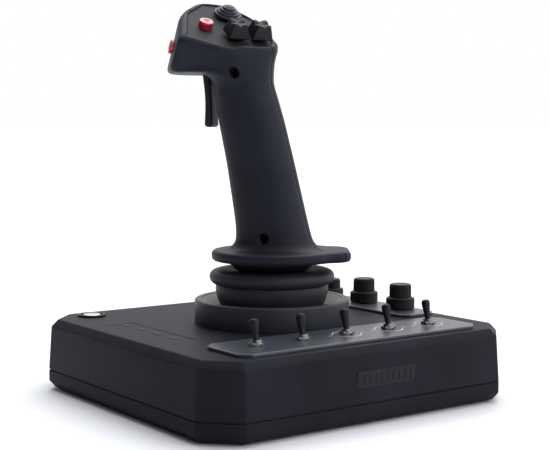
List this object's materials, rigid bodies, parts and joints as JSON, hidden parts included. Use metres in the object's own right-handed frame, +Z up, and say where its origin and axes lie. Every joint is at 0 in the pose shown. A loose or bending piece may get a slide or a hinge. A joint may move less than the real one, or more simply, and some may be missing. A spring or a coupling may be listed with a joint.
{
  "type": "flight joystick",
  "caption": "Desktop flight joystick: octagonal weighted base with toggles and knobs, rubber boot and a forward-leaning grip with trigger, hats and push buttons.",
  "frame": {"origin": "centre of the base on the plane its feet stand on", "axes": "+Z up, +Y to the rear, +X to the right of someone sitting at the front (-Y) side where the toggles are"},
  "size_m": [0.21, 0.2, 0.2313],
  "materials": {
    "shell_plastic": "satin moulded black",
    "panel_metal": "satin black paint",
    "soft_black": "soft matt rubber",
    "boot_rubber": "matt moulded rubber",
    "grip_plastic": "fine grained black",
    "control_plastic": "satin black",
    "trim_plastic": "satin blue grey",
    "red_plastic": "gloss red",
    "steel": "bright nickel",
    "zinc_steel": "dark zinc",
    "aluminium": "turned",
    "brass": "sintered bronze",
    "board_green": "solder mask",
    "lens": "smoked",
    "button_metal": "polished",
    "magnet": "nickel plate",
    "collar_metal": "satin"
  },
  "bodies": {
    "base": {"base_upper_shell": "shell_plastic", "base_lower_pan": "shell_plastic", "rubber_feet": "soft_black", "pan_screws": "steel", "ballast_plate": "zinc_steel", "main_board": "board_green", "usb_socket": "steel", "nameplate": "panel_metal", "toggle_panel": "panel_metal", "toggle_cases": "steel", "toggle_nuts": "steel", "knob_panel": "panel_metal", "encoder_bodies": "steel", "mode_bezel": "control_plastic", "indicator_lenses": "lens", "collar": "collar_metal", "gimbal_frame": "aluminium", "roll_bearings": "brass", "roll_sensor": "board_green", "boot_lower": "boot_rubber", "centring_spring": "steel"},
    "yoke": {"yoke": "aluminium", "pitch_bearings": "brass", "roll_magnet": "magnet", "pitch_sensor": "board_green"},
    "stick": {"stick_shaft": "aluminium", "pitch_axle": "steel", "pitch_magnet": "magnet", "spring_seat": "aluminium", "lock_collar": "soft_black", "boot_upper": "boot_rubber", "grip_shell_left": "grip_plastic", "grip_shell_right": "grip_plastic", "face_plate": "grip_plastic", "grip_screws": "zinc_steel", "grip_board": "board_green", "trigger_pin": "steel", "grip_switches": "control_plastic", "hat_switches": "control_plastic"},
    "trigger": {"trigger": "control_plastic"},
    "face_button": {"face_button": "red_plastic"},
    "side_button": {"side_button": "red_plastic"},
    "mode_button": {"mode_button": "button_metal"},
    "trim_hat": {"trim_hat": "trim_plastic"},
    "fore_hat": {"fore_hat": "control_plastic"},
    "aft_hat": {"aft_hat": "control_plastic"},
    "trim_ball": {"trim_ball": "steel"},
    "fore_ball": {"fore_ball": "steel"},
    "aft_ball": {"aft_ball": "steel"},
    "toggle_1": {"toggle_lever_1": "control_plastic"},
    "toggle_2": {"toggle_lever_2": "control_plastic"},
    "toggle_3": {"toggle_lever_3": "control_plastic"},
    "toggle_4": {"toggle_lever_4": "control_plastic"},
    "toggle_5": {"toggle_lever_5": "control_plastic"},
    "knob_1": {"knob_1": "control_plastic"},
    "knob_2": {"knob_2": "control_plastic"},
    "knob_3": {"knob_3": "control_plastic"}
  },
  "joints": [
    {"name": "stick_roll", "type": "hinge", "parent": "base", "child": "yoke", "pos_m": [0, 0, 0.046], "axis": [0, 1, 0], "range_deg": [-15, 15], "stiffness_Nm_per_rad": 1.6, "deforming": ["centring_spring", "boot_lower"]},
    {"name": "stick_pitch", "type": "hinge", "parent": "yoke", "child": "stick", "pos_m": [0, 0, 0.046], "axis": [1, 0, 0], "range_deg": [-15, 15], "stiffness_Nm_per_rad": 1.6, "deforming": ["boot_upper"]},
    {"name": "trigger_pull", "type": "hinge", "parent": "stick", "child": "trigger", "pos_m": [-0.01975, 0.03421, 0.1915], "axis": [-0.866, -0.5, 0], "range_deg": [0, 6], "stiffness_Nm_per_rad": 0.6},
    {"name": "face_button_press", "type": "slide", "parent": "stick", "child": "face_button", "axis": [0.077, 0.5007, -0.8622], "range_m": [0, 0.0012], "stiffness_N_per_m": 800},
    {"name": "side_button_press", "type": "slide", "parent": "stick", "child": "side_button", "axis": [0.8766, -0.4279, -0.2201], "range_m": [0, 0.0012], "stiffness_N_per_m": 800},
    {"name": "mode_button_press", "type": "slide", "parent": "base", "child": "mode_button", "axis": [0, 0, -1], "range_m": [0, 0.0012], "stiffness_N_per_m": 800},
    {"name": "trim_hat_side", "type": "hinge", "parent": "stick", "child": "trim_ball", "pos_m": [-0.00519, 0.04136, 0.21687], "axis": [-0.5773, 0.7274, 0.3708], "range_deg": [-4, 4], "stiffness_Nm_per_rad": 0.25},
    {"name": "trim_hat_fore", "type": "hinge", "parent": "trim_ball", "child": "trim_hat", "pos_m": [-0.00519, 0.04136, 0.21687], "axis": [0.8129, 0.4692, 0.3451], "range_deg": [-4, 4], "stiffness_Nm_per_rad": 0.25},
    {"name": "fore_hat_side", "type": "hinge", "parent": "stick", "child": "fore_ball", "pos_m": [-0.01435, 0.01899, 0.20307], "axis": [0.1751, 0.8445, 0.5061], "range_deg": [-4, 4], "stiffness_Nm_per_rad": 0.25},
    {"name": "fore_hat_fore", "type": "hinge", "parent": "fore_ball", "child": "fore_hat", "pos_m": [-0.01435, 0.01899, 0.20307], "axis": [0.9815, -0.19, -0.0226], "range_deg": [-4, 4], "stiffness_Nm_per_rad": 0.25},
    {"name": "aft_hat_side", "type": "hinge", "parent": "stick", "child": "aft_ball", "pos_m": [0.00023, 0.01616, 0.20273], "axis": [0.1751, 0.8445, 0.5061], "range_deg": [-4, 4], "stiffness_Nm_per_rad": 0.25},
    {"name": "aft_hat_fore", "type": "hinge", "parent": "aft_ball", "child": "aft_hat", "pos_m": [0.00023, 0.01616, 0.20273], "axis": [0.9815, -0.19, -0.0226], "range_deg": [-4, 4], "stiffness_Nm_per_rad": 0.25},
    {"name": "toggle_1_flip", "type": "hinge", "parent": "base", "child": "toggle_1", "pos_m": [-0.06, -0.07, 0.0448], "axis": [1, 0, 0], "range_deg": [0, 24]},
    {"name": "toggle_2_flip", "type": "hinge", "parent": "base", "child": "toggle_2", "pos_m": [-0.03, -0.07, 0.0448], "axis": [1, 0, 0], "range_deg": [0, 24]},
    {"name": "toggle_3_flip", "type": "hinge", "parent": "base", "child": "toggle_3", "pos_m": [0, -0.07, 0.0448], "axis": [1, 0, 0], "range_deg": [0, 24]},
    {"name": "toggle_4_flip", "type": "hinge", "parent": "base", "child": "toggle_4", "pos_m": [0.03, -0.07, 0.0448], "axis": [1, 0, 0], "range_deg": [0, 24]},
    {"name": "toggle_5_flip", "type": "hinge", "parent": "base", "child": "toggle_5", "pos_m": [0.06, -0.07, 0.0448], "axis": [1, 0, 0], "range_deg": [0, 24]},
    {"name": "knob_1_turn", "type": "hinge", "parent": "base", "child": "knob_1", "pos_m": [0.086, -0.0165, 0.0438], "axis": [0, 0, -1], "range_deg": [0, 270]},
    {"name": "knob_2_turn", "type": "hinge", "parent": "base", "child": "knob_2", "pos_m": [0.086, 0.0185, 0.0438], "axis": [0, 0, -1], "range_deg": [0, 270]},
    {"name": "knob_3_turn", "type": "hinge", "parent": "base", "child": "knob_3", "pos_m": [0.086, 0.0535, 0.0438], "axis": [0, 0, -1], "range_deg": [0, 270]}
  ]
}
